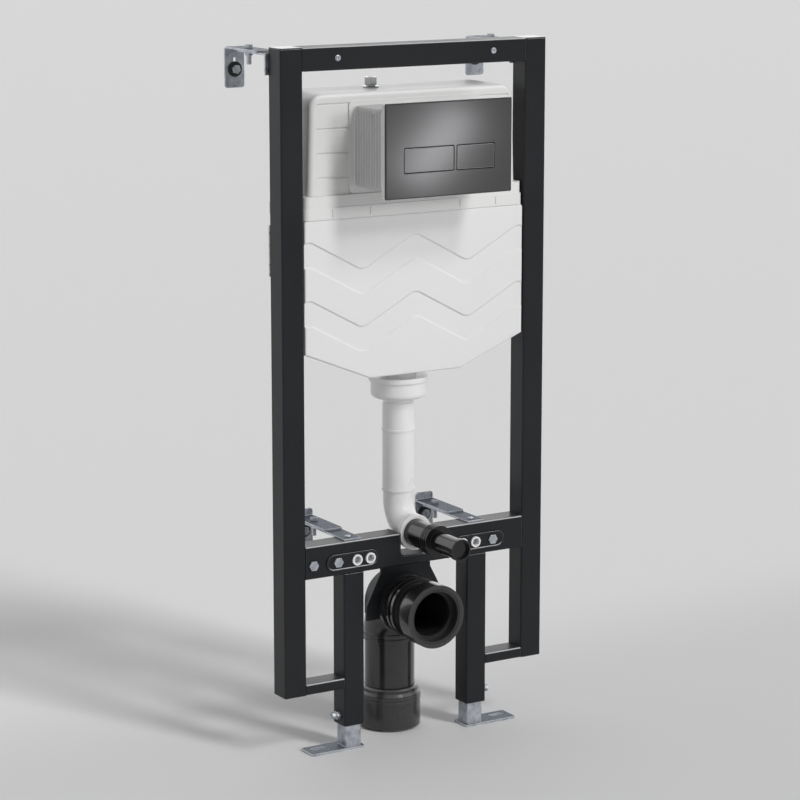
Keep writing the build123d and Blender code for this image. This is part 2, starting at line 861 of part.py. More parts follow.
# Cup nut that holds the flush pipe under the cistern
with BuildPart() as cup_nut:
    with BuildSketch(Plane.XY.offset(cup_bottom)):
        with Locations((0, outlet_y)):
            Circle(cup_radius)
    extrude(amount=cup_height)
    fillet(cup_nut.edges().sort_by(Axis.Z)[0], cup_round)
    with BuildSketch(Plane.XY.offset(cup_bottom + cup_height)):
        with Locations((0, outlet_y)):
            Circle(cup_rim_radius)
    extrude(amount=cup_rim_height)
    with BuildSketch(Plane.XY.offset(cup_bottom + cup_floor)):
        with Locations((0, outlet_y)):
            Circle(outlet_radius + fit_gap)
    extrude(amount=cup_height + cup_rim_height - cup_floor, mode=Mode.SUBTRACT)
    with BuildSketch(Plane.XY.offset(cup_bottom)):
        with Locations((0, outlet_y)):
            Circle(flush_neck_radius + fit_gap)
    extrude(amount=cup_floor, mode=Mode.SUBTRACT)
keep(cup_nut.part, "cup_nut")

# Flush pipe: a neck flanged inside the cup nut, then the full width with one bead
pipe_top = cup_bottom + cup_floor + fit_gap + flush_flange_thickness
neck_bottom = cup_bottom - flush_neck_length
flush_joint_z = flush_z + flush_joint_above_outlet
flush_bead_z = cup_bottom - flush_bead_share * (cup_bottom - flush_joint_z)
with BuildPart() as flush_pipe:
    with BuildSketch(Plane.XY.offset(flush_joint_z)):
        with Locations((0, outlet_y)):
            Circle(flush_radius)
    extrude(amount=neck_bottom - flush_joint_z)
    chamfer(flush_pipe.edges().group_by(Axis.Z)[-1], flush_shoulder)
    with BuildSketch(Plane.XY.offset(neck_bottom)):
        with Locations((0, outlet_y)):
            Circle(flush_neck_radius)
    extrude(amount=pipe_top - neck_bottom)
    with BuildSketch(Plane.XY.offset(flush_bead_z)):
        with Locations((0, outlet_y)):
            Circle(flush_radius + flush_bead)
    extrude(amount=flush_bead_height)
    with BuildSketch(Plane.XY.offset(pipe_top - flush_flange_thickness)):
        with Locations((0, outlet_y)):
            Circle(flush_flange_radius)
    extrude(amount=flush_flange_thickness)
    with BuildSketch(Plane.XY.offset(flush_joint_z)):
        with Locations((0, outlet_y)):
            Circle(flush_bore)
    extrude(amount=pipe_top - flush_joint_z, mode=Mode.SUBTRACT)
keep(flush_pipe.part, "flush_pipe")

# Flush elbow: down, then forward through the notch of the cross rail
elbow_bend_z = flush_z + elbow_bend
elbow_bend_y = outlet_y - elbow_bend
elbow_axis = Axis((0, elbow_bend_y, elbow_bend_z), (-1, 0, 0))
with BuildPart() as flush_elbow:
    with BuildSketch(Plane.XY.offset(flush_joint_z - flush_bead_height)):
        with Locations((0, outlet_y)):
            Circle(flush_radius + flush_bead)
    extrude(amount=flush_bead_height)
    for radius, mode in ((elbow_radius, Mode.ADD), (flush_bore, Mode.SUBTRACT)):
        with BuildSketch(Plane.XY.offset(elbow_bend_z)):
            with Locations((0, outlet_y)):
                Circle(radius)
        extrude(amount=flush_joint_z - elbow_bend_z, mode=mode)
        with BuildSketch(Plane.XY.offset(elbow_bend_z)):
            with Locations((0, outlet_y)):
                Circle(radius)
        revolve(axis=elbow_axis, revolution_arc=90, mode=mode)
        with BuildSketch(front_plane(elbow_bend_y)):
            with Locations((0, flush_z)):
                Circle(radius)
        extrude(amount=elbow_bend_y - elbow_end_y, mode=mode)
keep(flush_elbow.part, "flush_elbow")

# Rubber collar on the elbow's end, inside the notch
with BuildPart() as elbow_collar:
    with BuildSketch(front_plane(elbow_end_y + elbow_collar_length)):
        with Locations((0, flush_z)):
            Circle(elbow_collar_radius)
            Circle(elbow_radius + fit_gap, mode=Mode.SUBTRACT)
    extrude(amount=elbow_collar_length)
keep(elbow_collar.part, "elbow_collar")

# Building plug that closes the elbow: sleeve, thin rings, round grip and a cupped end disc
plug_back = elbow_end_y + plug_sleeve_depth
plug_grip_back = plug_back - plug_sleeve_length
plug_disc_back = plug_grip_back - plug_grip_length
plug_disc_front = plug_disc_back - plug_disc_length
with BuildPart() as flush_plug:
    with BuildSketch(front_plane(plug_back)):
        with Locations((0, flush_z)):
            Circle(flush_bore - fit_gap)
    extrude(amount=plug_sleeve_length)
    for ring in range(plug_ring_count):
        ring_front = plug_grip_back + ring * plug_ring_spacing
        with BuildSketch(front_plane(ring_front + plug_ring_length)):
            with Locations((0, flush_z)):
                Circle(plug_ring_radius)
        extrude(amount=plug_ring_length)
    with BuildSketch(front_plane(plug_grip_back)):
        with Locations((0, flush_z)):
            Circle(plug_grip_radius)
    extrude(amount=plug_grip_length)
    with BuildSketch(front_plane(plug_disc_back)):
        with Locations((0, flush_z)):
            Circle(plug_disc_radius)
    extrude(amount=plug_disc_length)
    with BuildSketch(front_plane(plug_disc_front + plug_disc_recess)):
        with Locations((0, flush_z)):
            Circle(plug_disc_radius - plug_disc_rim)
    extrude(amount=plug_disc_recess, mode=Mode.SUBTRACT)
keep(flush_plug.part, "flush_plug")

# Drain bend: up from the drain pipe, then forward to a socket with two rings and a rib in its holder
bend_z = drain_z - bend_radius
bend_y = drain_y - bend_radius
bend_bottom = bend_z - bend_tail
bend_axis = Axis((0, bend_y, bend_z), (1, 0, 0))
socket_back = drain_front + drain_socket_depth
rings = [
    (ring_back, ring_radius),
    (ring_back - ring_length - ring_gap, ring_radius),
    (holder_front + holder_thickness, holder_opening - fit_gap),
]
with BuildPart() as drain_bend:
    for bead in range(2):
        with BuildSketch(Plane.XY.offset(bend_bottom + bead * bend_bead_spacing)):
            with Locations((0, drain_y)):
                Circle(bend_body_radius + bend_bead)
        extrude(amount=bend_bead_height)
    for back, radius in rings:
        with BuildSketch(front_plane(back)):
            with Locations((0, drain_z)):
                Circle(radius)
        extrude(amount=ring_length)
    with BuildSketch(front_plane(socket_back + drain_socket_back)):
        with Locations((0, drain_z)):
            Circle(drain_socket_radius)
    extrude(amount=drain_socket_depth + drain_socket_back)
    for radius, mode in ((bend_body_radius, Mode.ADD), (bend_bore, Mode.SUBTRACT)):
        with BuildSketch(Plane.XY.offset(bend_bottom)):
            with Locations((0, drain_y)):
                Circle(radius)
        extrude(amount=bend_z - bend_bottom, mode=mode)
        with BuildSketch(Plane.XY.offset(bend_z)):
            with Locations((0, drain_y)):
                Circle(radius)
        revolve(axis=bend_axis, revolution_arc=90, mode=mode)
        with BuildSketch(front_plane(bend_y)):
            with Locations((0, drain_z)):
                Circle(radius)
        extrude(amount=bend_y - socket_back, mode=mode)
    with BuildSketch(front_plane(socket_back)):
        with Locations((0, drain_z)):
            Circle(drain_socket_bore)
    extrude(amount=drain_socket_depth, mode=Mode.SUBTRACT)
keep(drain_bend.part, "drain_bend")

# Rubber seal in the drain socket: a sleeve with a thick inner lip at its back
seal_front = drain_front + seal_setback
seal_back = socket_back - fit_gap
with BuildPart() as drain_seal:
    with BuildSketch(Plane.YZ):
        Polygon(
            (seal_front, drain_z + seal_channel_radius),
            (seal_front, drain_z + drain_socket_bore - fit_gap),
            (seal_back, drain_z + drain_socket_bore - fit_gap),
            (seal_back, drain_z + seal_radius),
            (seal_back - seal_land, drain_z + seal_radius),
            (seal_back - seal_land, drain_z + seal_channel_radius),
            align=None,
        )
    revolve(axis=Axis((0, 0, drain_z), (0, 1, 0)))
keep(drain_seal.part, "drain_seal")

# Drain pipe down into the floor socket
with BuildPart() as drain_pipe:
    with BuildSketch(Plane.XY.offset(floor_socket_top)):
        with Locations((0, drain_y)):
            Circle(drain_radius)
            Circle(drain_radius - drain_wall, mode=Mode.SUBTRACT)
    extrude(amount=bend_bottom - floor_socket_top)
keep(drain_pipe.part, "drain_pipe")

# Floor socket: reducer with a lip round the pipe, a sloped shoulder and two fine lines
lip_top = floor_socket_top + socket_lip_height
shoulder_bottom = floor_socket_top - floor_socket_shoulder
pipe_bore = drain_radius - drain_wall
with BuildPart() as drain_socket:
    with BuildSketch(Plane.YZ):
        Polygon(
            (drain_y + pipe_bore, floor_socket_top),
            (drain_y + drain_radius + fit_gap, floor_socket_top),
            (drain_y + drain_radius + fit_gap, lip_top),
            (drain_y + socket_lip_radius - socket_lip_edge, lip_top),
            (drain_y + socket_lip_radius, lip_top - socket_lip_edge),
            (drain_y + socket_lip_radius, floor_socket_top),
            (drain_y + floor_socket_radius, shoulder_bottom),
            (drain_y + floor_socket_radius, floor_socket_bottom),
            (drain_y + floor_socket_bore, floor_socket_bottom),
            (drain_y + floor_socket_bore, floor_socket_bottom + floor_socket_depth),
            (drain_y + pipe_bore, floor_socket_bottom + floor_socket_depth),
            align=None,
        )
    revolve(axis=Axis((0, drain_y, 0), (0, 0, 1)))
    for line_z in socket_line_z:
        with BuildSketch(Plane.XY.offset(line_z)):
            with Locations((0, drain_y)):
                Circle(socket_line_radius)
                Circle(floor_socket_radius - fit_gap, mode=Mode.SUBTRACT)
        extrude(amount=socket_line_height)
keep(drain_socket.part, "drain_socket")

# Drain holder: pressed plate under the cross rail, arched over the bend, with a hood behind
holder_neck_end = (holder_neck, drain_z + holder_neck_above_drain)
holder_side_end = (holder_half_width, drain_z + holder_side_above_drain)
holder_bottom = drain_z - holder_bottom_below_drain
with BuildPart() as drain_holder:
    with BuildSketch(front_plane(holder_front + holder_thickness)):
        with BuildLine():
            Polyline((0, cross_rail_bottom), (holder_neck, cross_rail_bottom), holder_neck_end)
            ThreePointArc(
                holder_neck_end,
                (holder_shoulder, drain_z + holder_shoulder_above_drain),
                holder_side_end,
            )
            Polyline(
                holder_side_end,
                (holder_half_width, holder_bottom),
                (0, holder_bottom),
            )
            mirror(about=Plane.YZ)
        make_face()
        with Locations((0, drain_z)):
            Circle(holder_opening, mode=Mode.SUBTRACT)
        with Locations((0, holder_bottom)):
            Rectangle(
                2 * holder_opening,
                drain_z - holder_bottom,
                align=(Align.CENTER, Align.MIN),
                mode=Mode.SUBTRACT,
            )
    extrude(amount=holder_thickness)
    with BuildSketch(front_plane(holder_front + holder_thickness)):
        with Locations((0, drain_z)):
            Circle(holder_opening + holder_wall)
        with Locations((0, drain_z)):
            Rectangle(
                2 * (holder_opening + holder_wall),
                drain_z - holder_bottom,
                align=(Align.CENTER, Align.MAX),
            )
        with Locations((0, drain_z)):
            Circle(holder_opening, mode=Mode.SUBTRACT)
            Rectangle(
                2 * holder_opening,
                drain_z - holder_bottom,
                align=(Align.CENTER, Align.MAX),
                mode=Mode.SUBTRACT,
            )
        with Locations((0, holder_bottom)):
            Rectangle(
                2 * (holder_opening + holder_wall),
                holder_opening,
                align=(Align.CENTER, Align.MAX),
                mode=Mode.SUBTRACT,
            )
    extrude(amount=-holder_hood)
keep(drain_holder.part, "drain_holder")

# Every piece is written from the part's own origin
os.makedirs("parts", exist_ok=True)
anchor_z = upper_flange_top - bracket_plate_height + bracket_hole_from_bottom
origin = Location((-upper_bracket_x[0], -wall_y, -anchor_z))
for piece in pieces:
    placed = piece.moved(origin)
    placed.label = piece.label
    export_step(placed, f"parts/{piece.label}.step")
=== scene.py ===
import bpy
import bmesh
import json
import math
from mathutils import Matrix, Quaternion, Vector


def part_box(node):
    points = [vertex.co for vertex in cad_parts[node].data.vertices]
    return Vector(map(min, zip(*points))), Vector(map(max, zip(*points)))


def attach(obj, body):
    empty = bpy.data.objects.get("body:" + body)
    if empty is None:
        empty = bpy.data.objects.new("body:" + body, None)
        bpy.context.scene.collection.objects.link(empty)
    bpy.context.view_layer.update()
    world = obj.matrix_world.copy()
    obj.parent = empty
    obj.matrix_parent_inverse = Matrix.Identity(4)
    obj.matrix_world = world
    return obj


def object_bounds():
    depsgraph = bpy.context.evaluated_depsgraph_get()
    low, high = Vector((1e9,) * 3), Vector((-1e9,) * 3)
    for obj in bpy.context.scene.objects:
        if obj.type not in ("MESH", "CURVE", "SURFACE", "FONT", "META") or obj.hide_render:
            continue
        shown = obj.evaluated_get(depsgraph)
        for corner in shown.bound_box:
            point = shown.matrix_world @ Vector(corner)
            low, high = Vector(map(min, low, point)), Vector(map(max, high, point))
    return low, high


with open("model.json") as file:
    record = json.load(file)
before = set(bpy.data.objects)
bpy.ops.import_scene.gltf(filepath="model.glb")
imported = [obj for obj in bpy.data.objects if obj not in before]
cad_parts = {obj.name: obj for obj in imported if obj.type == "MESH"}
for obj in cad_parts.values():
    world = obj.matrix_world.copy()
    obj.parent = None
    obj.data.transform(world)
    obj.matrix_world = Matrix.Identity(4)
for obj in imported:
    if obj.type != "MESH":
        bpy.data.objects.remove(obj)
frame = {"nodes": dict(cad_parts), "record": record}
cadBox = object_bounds()
scene = bpy.context.scene
scene.view_settings.view_transform = "Standard"
print("frame loaded:", len(frame["nodes"]), "nodes")

mm = 0.001
hair = 0.01 * mm  # corners closer than this are one
up = Vector((0, 0, 1))
forward = Vector((0, -1, 0))  # towards the room, away from the wall
backward = Vector((0, 1, 0))


def middle(node):
    low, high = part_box(node)
    return (low + high) / 2


# Places that the new pieces share, all read from the frame
postLow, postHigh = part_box("left_post")
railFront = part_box("cross_rail")[0].y
frameMiddle = (postLow.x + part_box("right_post")[1].x) / 2
floorHeight = cadBox[0].z


# Camera

cameraSettings = {
    "place": (-2.1191, -4.0181, 0.3785),
    "turnRight": 31.19,
    "lookDown": 11.187,
    "lens": 126.1,
    "shiftY": -0.02,
    "sight": 200,
}


def addCamera():
    data = bpy.data.cameras.new("camera")
    data.lens = cameraSettings["lens"]
    data.shift_y = cameraSettings["shiftY"]
    data.clip_end = cameraSettings["sight"]
    camera = bpy.data.objects.new("camera", data)
    camera.location = cameraSettings["place"]
    camera.rotation_euler = (
        math.radians(90 - cameraSettings["lookDown"]),
        0,
        math.radians(-cameraSettings["turnRight"]),
    )
    scene.collection.objects.link(camera)
    scene.camera = camera


# Tools for node trees

def addRamp(nodes, links, value, start, end, low=0.0, high=1.0):
    # Maps a value between start and end onto the range from low to high
    ramp = nodes.new("ShaderNodeMapRange")
    limits = {"From Min": start, "From Max": end, "To Min": low, "To Max": high}
    for label, limit in limits.items():
        ramp.inputs[label].default_value = limit
    links.new(value, ramp.inputs["Value"])
    return ramp


def addMath(nodes, links, operation, first, second):
    node = nodes.new("ShaderNodeMath")
    node.operation = operation
    for socket, value in zip(node.inputs, (first, second)):
        if isinstance(value, bpy.types.NodeSocket):
            links.new(value, socket)
        else:
            socket.default_value = value
    return node


# Light and floor

lightSettings = {
    "sunSide": -0.36,
    "sunDrops": (0.25, 0.7, 1.15),
    "sunStrength": 0.66,
    "sunAngle": 11,
    "glowDistance": 0.38,
    "glowDirection": (0.47, -0.87, -0.10),
    "glowSize": (0.05, 0.15),
    "glowPower": 0.125,
    "glowTilt": -35,
    "skyFront": 0.22,
    "skyBack": 0.46,
    "mirrorFront": 0.16,
    "mirrorBack": 1.5,
    "rampFront": -0.9,
    "rampBack": 0.7,
    "background": 0.70,
}


def addLights():
    # Three suns above each other stand for one tall soft light; only the highest shines in gloss
    for step, drop in enumerate(lightSettings["sunDrops"]):
        sunData = bpy.data.lights.new(f"keySun{step + 1}", "SUN")
        sunData.energy = lightSettings["sunStrength"]
        sunData.angle = math.radians(lightSettings["sunAngle"])
        sun = bpy.data.objects.new(f"keySun{step + 1}", sunData)
        direction = Vector((lightSettings["sunSide"], 1, -drop))
        sun.rotation_mode = "QUATERNION"
        sun.rotation_quaternion = direction.to_track_quat("-Z", "Y")
        sun.visible_glossy = drop == max(lightSettings["sunDrops"])
        scene.collection.objects.link(sun)

    # A small soft light close to the flush plate, where the plate mirrors it to the camera
    glowData = bpy.data.lights.new("plateGlow", "AREA")
    glowData.shape = "RECTANGLE"
    glowData.size, glowData.size_y = lightSettings["glowSize"]
    glowData.energy = lightSettings["glowPower"]
    glow = bpy.data.objects.new("plateGlow", glowData)
    direction = Vector(lightSettings["glowDirection"]).normalized()
    glow.location = middle("flush_plate") + direction * lightSettings["glowDistance"]
    glow.rotation_mode = "QUATERNION"
    tilt = Quaternion((0, 0, 1), math.radians(lightSettings["glowTilt"]))
    glow.rotation_quaternion = (-direction).to_track_quat("-Z", "Y") @ tilt
    glow.visible_camera = False
    scene.collection.objects.link(glow)


def addWorld():
    # Darker towards the room and lighter behind the object, more so in mirror images
    world = bpy.data.worlds.new("studio")
    scene.world = world
    world.use_nodes = True
    nodes, links = world.node_tree.nodes, world.node_tree.links
    background = nodes["Background"]
    place = nodes.new("ShaderNodeTexCoord")
    split = nodes.new("ShaderNodeSeparateXYZ")
    path = nodes.new("ShaderNodeLightPath")
    links.new(place.outputs["Generated"], split.inputs[0])
    levels = []
    for label in ("sky", "mirror"):
        ramp = addRamp(
            nodes, links, split.outputs["Y"],
            lightSettings["rampFront"], lightSettings["rampBack"],
            lightSettings[f"{label}Front"], lightSettings[f"{label}Back"],
        )
        levels.append(ramp.outputs["Result"])
    mirror = nodes.new("ShaderNodeMix")
    links.new(path.outputs["Is Glossy Ray"], mirror.inputs["Factor"])
    links.new(levels[0], mirror.inputs["A"])
    links.new(levels[1], mirror.inputs["B"])
    seen = nodes.new("ShaderNodeMix")
    seen.inputs["B"].default_value = lightSettings["background"]
    links.new(path.outputs["Is Camera Ray"], seen.inputs["Factor"])
    links.new(mirror.outputs["Result"], seen.inputs["A"])
    links.new(seen.outputs["Result"], background.inputs["Color"])


# One large floor: darker in front of the object and lighter behind it
floorSettings = {
    "size": 120, "near": (0.79, 0.79, 0.795), "far": (0.92, 0.92, 0.92),
    "nearEnd": -0.05, "farStart": 0.5, "roughness": 0.75,
}


def addFloor():
    bm = bmesh.new()
    bmesh.ops.create_grid(bm, x_segments=1, y_segments=1, size=floorSettings["size"] / 2)
    bmesh.ops.translate(bm, verts=bm.verts, vec=(frameMiddle, 0, floorHeight))
    mesh = bpy.data.meshes.new("floor")
    bm.to_mesh(mesh)
    bm.free()
    floor = bpy.data.objects.new("floor", mesh)
    scene.collection.objects.link(floor)
    material, nodes, links, shader = newFinish("paleFloor")
    place = nodes.new("ShaderNodeTexCoord")
    split = nodes.new("ShaderNodeSeparateXYZ")
    links.new(place.outputs["Object"], split.inputs[0])
    ramp = addRamp(
        nodes, links, split.outputs["Y"], floorSettings["nearEnd"], floorSettings["farStart"]
    )
    ramp.interpolation_type = "SMOOTHSTEP"
    tone = blendColour(
        nodes, links, ramp.outputs["Result"], floorSettings["near"], floorSettings["far"]
    )
    links.new(tone, shader.inputs["Base Color"])
    shader.inputs["Roughness"].default_value = floorSettings["roughness"]
    mesh.materials.append(material)


# Node groups that several finishes share

groupSettings = {
    "bevelSamples": 6, "cloudDetail": 3, "grainDetail": 2, "streakDetail": 4,
    "topStart": 0.90, "topFull": 0.99, "crestStart": -0.25, "crestFull": -0.48,
    "noiseLow": 0.3, "noiseHigh": 0.7,
}


def newGroup(name, inputs, outputs):
    group = bpy.data.node_groups.new(name, "ShaderNodeTree")
    for label, value in inputs.items():
        kind = "NodeSocketVector" if isinstance(value, tuple) else "NodeSocketFloat"
        socket = group.interface.new_socket(name=label, in_out="INPUT", socket_type=kind)
        socket.default_value = value
    for label, kind in outputs.items():
        group.interface.new_socket(name=label, in_out="OUTPUT", socket_type=kind)
    start = group.nodes.new("NodeGroupInput")
    end = group.nodes.new("NodeGroupOutput")
    return group, group.nodes, group.links, start, end


def makeSoftEdge():
    # Rounds sharp edges a little and finds where they are
    group, nodes, links, start, end = newGroup(
        "softEdge",
        {"Radius": 0.0007, "Sharpness": 6.0},
        {"Edge": "NodeSocketFloat", "Normal": "NodeSocketVector"},
    )
    rounded = nodes.new("ShaderNodeBevel")
    rounded.samples = groupSettings["bevelSamples"]
    flat = nodes.new("ShaderNodeNewGeometry")
    compare = nodes.new("ShaderNodeVectorMath")
    compare.operation = "DOT_PRODUCT"
    links.new(start.outputs["Radius"], rounded.inputs["Radius"])
    links.new(rounded.outputs["Normal"], compare.inputs[0])
    links.new(flat.outputs["Normal"], compare.inputs[1])
    turnedBy = addMath(nodes, links, "SUBTRACT", 1, compare.outputs["Value"])
    mask = addMath(nodes, links, "MULTIPLY", turnedBy.outputs[0], start.outputs["Sharpness"])
    mask.use_clamp = True
    links.new(mask.outputs[0], end.inputs["Edge"])
    links.new(rounded.outputs["Normal"], end.inputs["Normal"])
    return group


def makeGrain():
    # A coarse cloud and a fine grain, both about 0.5 on average
    group, nodes, links, start, end = newGroup(
        "surfaceGrain",
        {"Cloud Scale": 12.0, "Grain Scale": 900.0},
        {"Cloud": "NodeSocketFloat", "Grain": "NodeSocketFloat"},
    )
    place = nodes.new("ShaderNodeTexCoord")
    cloud = nodes.new("ShaderNodeTexNoise")
    cloud.inputs["Detail"].default_value = groupSettings["cloudDetail"]
    grain = nodes.new("ShaderNodeTexNoise")
    grain.inputs["Detail"].default_value = groupSettings["grainDetail"]
    for noise, label in ((cloud, "Cloud"), (grain, "Grain")):
        links.new(place.outputs["Object"], noise.inputs["Vector"])
        links.new(start.outputs[f"{label} Scale"], noise.inputs["Scale"])
        links.new(noise.outputs["Fac"], end.inputs[label])
    return group


def makeStreaks():
    # Fine lines along X, as on brushed metal
    group, nodes, links, start, end = newGroup(
        "brushedStreaks",
        {"Along": 3.0, "Across": 1400.0},
        {"Streak": "NodeSocketFloat"},
    )
    place = nodes.new("ShaderNodeTexCoord")
    split = nodes.new("ShaderNodeSeparateXYZ")
    join = nodes.new("ShaderNodeCombineXYZ")
    for axis, label in (("X", "Along"), ("Y", "Across"), ("Z", "Across")):
        stretched = addMath(nodes, links, "MULTIPLY", split.outputs[axis], start.outputs[label])
        links.new(stretched.outputs[0], join.inputs[axis])
    noise = nodes.new("ShaderNodeTexNoise")
    noise.inputs["Scale"].default_value = 1
    noise.inputs["Detail"].default_value = groupSettings["streakDetail"]
    links.new(place.outputs["Object"], split.inputs[0])
    links.new(join.outputs[0], noise.inputs["Vector"])
    links.new(noise.outputs["Fac"], end.inputs["Streak"])
    return group


def makeCrest():
    # Finds the edges that face forward and up, which get a painted highlight, and the level top
    # faces, where zinc gets painted shade
    group, nodes, links, start, end = newGroup(
        "crestMask",
        {"Normal": (0.0, 0.0, 1.0)},
        {"Crest": "NodeSocketFloat", "Top": "NodeSocketFloat"},
    )
    split = nodes.new("ShaderNodeSeparateXYZ")
    links.new(start.outputs["Normal"], split.inputs[0])
    product = addMath(nodes, links, "MULTIPLY", split.outputs["Y"], split.outputs["Z"])
    for label, value in (("top", split.outputs["Z"]), ("crest", product.outputs[0])):
        ramp = addRamp(
            nodes, links, value, groupSettings[f"{label}Start"], groupSettings[f"{label}Full"]
        )
        links.new(ramp.outputs["Result"], end.inputs[label.title()])
    return group


softEdge = makeSoftEdge()
crestGroup = makeCrest()
grainGroup = makeGrain()
streakGroup = makeStreaks()
print("node groups ready")


# Finishes

def newFinish(name, metallic=0.0, coat=0.0):
    material = bpy.data.materials.new(name)
    material.use_nodes = True
    nodes, links = material.node_tree.nodes, material.node_tree.links
    shader = nodes["Principled BSDF"]
    shader.inputs["Metallic"].default_value = metallic
    shader.inputs["Coat Weight"].default_value = coat
    return material, nodes, links, shader


def addGroup(nodes, group, **values):
    node = nodes.new("ShaderNodeGroup")
    node.node_tree = group
    for label, value in values.items():
        node.inputs[label.replace("_", " ")].default_value = value
    return node


def spread(nodes, links, value, low, high):
    # Stretches a noise, which stays near its middle, over the range from low to high
    start, end = groupSettings["noiseLow"], groupSettings["noiseHigh"]
    return addRamp(nodes, links, value, start, end, low, high).outputs["Result"]


def blendColour(nodes, links, factor, first, second):
    mix = nodes.new("ShaderNodeMix")
    mix.data_type = "RGBA"
    sockets = [s for s in mix.inputs if s.type == "RGBA"]
    for socket, colour in zip(sockets, (first, second)):
        if isinstance(colour, tuple):
            socket.default_value = (*colour, 1)
        else:
            links.new(colour, socket)
    links.new(factor, mix.inputs["Factor"])
    return [s for s in mix.outputs if s.type == "RGBA"][0]


def addBump(nodes, links, shader, height, strength, distance, normal):
    bump = nodes.new("ShaderNodeBump")
    bump.inputs["Strength"].default_value = strength
    bump.inputs["Distance"].default_value = distance
    links.new(height, bump.inputs["Height"])
    links.new(normal, bump.inputs["Normal"])
    links.new(bump.outputs["Normal"], shader.inputs["Normal"])


def finish(name, look):
    # One recipe for painted, moulded and plated surfaces, each with its own values
    material, nodes, links, shader = newFinish(name, look["metallic"], look["coat"])
    grain = addGroup(
        nodes, grainGroup, Cloud_Scale=look["cloudScale"], Grain_Scale=look["grainScale"]
    )
    edge = addGroup(nodes, softEdge, Radius=look["edgeRadius"])
    cloud = spread(nodes, links, grain.outputs["Cloud"], 0, 1)
    body = blendColour(nodes, links, cloud, look["dark"], look["light"])
    # Painted edge highlight: the look's edge colour mixed in at sharp edges (a painted dark line
    # on chrome)
    paintedEdgeMask = addMath(nodes, links, "MULTIPLY", edge.outputs["Edge"], look["paintedEdgeAmount"])
    colour = blendColour(nodes, links, paintedEdgeMask.outputs[0], body, look["edge"])
    crest = addGroup(nodes, crestGroup)
    links.new(edge.outputs["Normal"], crest.inputs["Normal"])
    # Painted highlight on edges that face forward and up; painted shade on level top faces where
    # a look gives it
    for label, entry in (("Top", "paintedTopShade"), ("Crest", "paintedCrestHighlight")):
        if entry in look:
            colour = blendColour(nodes, links, crest.outputs[label], colour, look[entry])
    links.new(colour, shader.inputs["Base Color"])
    shader.inputs["Specular IOR Level"].default_value = look.get("shine", 0.5)
    if "edgeMetal" in look:
        # At sharp edges the zinc turns less metallic with a grey specular tint, so that the
        # painted edge highlight shows as a bright line
        metal = addRamp(
            nodes, links, edge.outputs["Edge"], 0, 1, look["metallic"], look["edgeMetal"]
        )
        links.new(metal.outputs["Result"], shader.inputs["Metallic"])
        shader.inputs["Specular Tint"].default_value = (*look["grazing"], 1)
    low, high = look["roughness"]
    links.new(spread(nodes, links, grain.outputs["Cloud"], low, high), shader.inputs["Roughness"])
    addBump(
        nodes, links, shader, grain.outputs["Grain"], look["bump"], look["bumpDepth"],
        edge.outputs["Normal"],
    )
    return material


# In the looks below, the edge colour is a painted highlight mixed in at sharp edges (a painted
# dark edge line on chrome), and the crest colour is a painted highlight on edges that face
# forward and up
powderCoatLook = {
    "metallic": 0.0, "coat": 0.0,
    "dark": (0.0105, 0.0115, 0.0140), "light": (0.0140, 0.0150, 0.0178),
    "edge": (0.16, 0.165, 0.17),
    "paintedEdgeAmount": 0.7, "shine": 0.32, "paintedCrestHighlight": (0.55, 0.56, 0.57), "edgeRadius": 0.0012,
    "cloudScale": 9, "grainScale": 800,
    "roughness": (0.34, 0.44), "bump": 0.12, "bumpDepth": 0.0004,
}
tankLook = {
    "metallic": 0.0, "coat": 0.0,
    "dark": (0.745, 0.745, 0.735), "light": (0.775, 0.775, 0.767), "edge": (0.8, 0.8, 0.8),
    "paintedCrestHighlight": (0.93, 0.93, 0.93), "paintedEdgeAmount": 0.3, "edgeRadius": 0.001,
    "cloudScale": 7, "grainScale": 420,
    "roughness": (0.34, 0.46), "bump": 0.05, "bumpDepth": 0.0004,
}
coverLook = {
    "metallic": 0.0, "coat": 0.0,
    "dark": (0.775, 0.775, 0.775), "light": (0.795, 0.795, 0.795), "edge": (0.82, 0.82, 0.82),
    "paintedEdgeAmount": 0.3, "edgeRadius": 0.0012, "cloudScale": 5, "grainScale": 300,
    "roughness": (0.6, 0.75), "bump": 0.1, "bumpDepth": 0.0005,
}
whitePipeLook = {
    "metallic": 0.0, "coat": 0.15,
    "dark": (0.81, 0.81, 0.81), "light": (0.84, 0.84, 0.84), "edge": (0.86, 0.86, 0.86),
    "paintedEdgeAmount": 0.3, "edgeRadius": 0.0008, "cloudScale": 14, "grainScale": 500,
    "roughness": (0.25, 0.36), "bump": 0.03, "bumpDepth": 0.0003,
}
# Painted shade: a mid grey for the ribs on the white collar, with a painted highlight at their
# edges
ribShadeLook = {
    "metallic": 0.0, "coat": 0.0,
    "dark": (0.50, 0.50, 0.50), "light": (0.54, 0.54, 0.54), "edge": (0.80, 0.80, 0.80),
    "paintedEdgeAmount": 0.9, "edgeRadius": 0.0008, "cloudScale": 10, "grainScale": 500,
    "roughness": (0.4, 0.5), "bump": 0.03, "bumpDepth": 0.0003,
}
glossBlackLook = {
    "metallic": 0.0, "coat": 0.4,
    "dark": (0.021, 0.021, 0.0215), "light": (0.030, 0.030, 0.031), "edge": (0.16, 0.16, 0.16),
    "paintedEdgeAmount": 0.7, "paintedCrestHighlight": (0.12, 0.12, 0.12), "edgeRadius": 0.0010,
    "cloudScale": 16, "grainScale": 450,
    "roughness": (0.16, 0.28), "bump": 0.05, "bumpDepth": 0.0004,
}
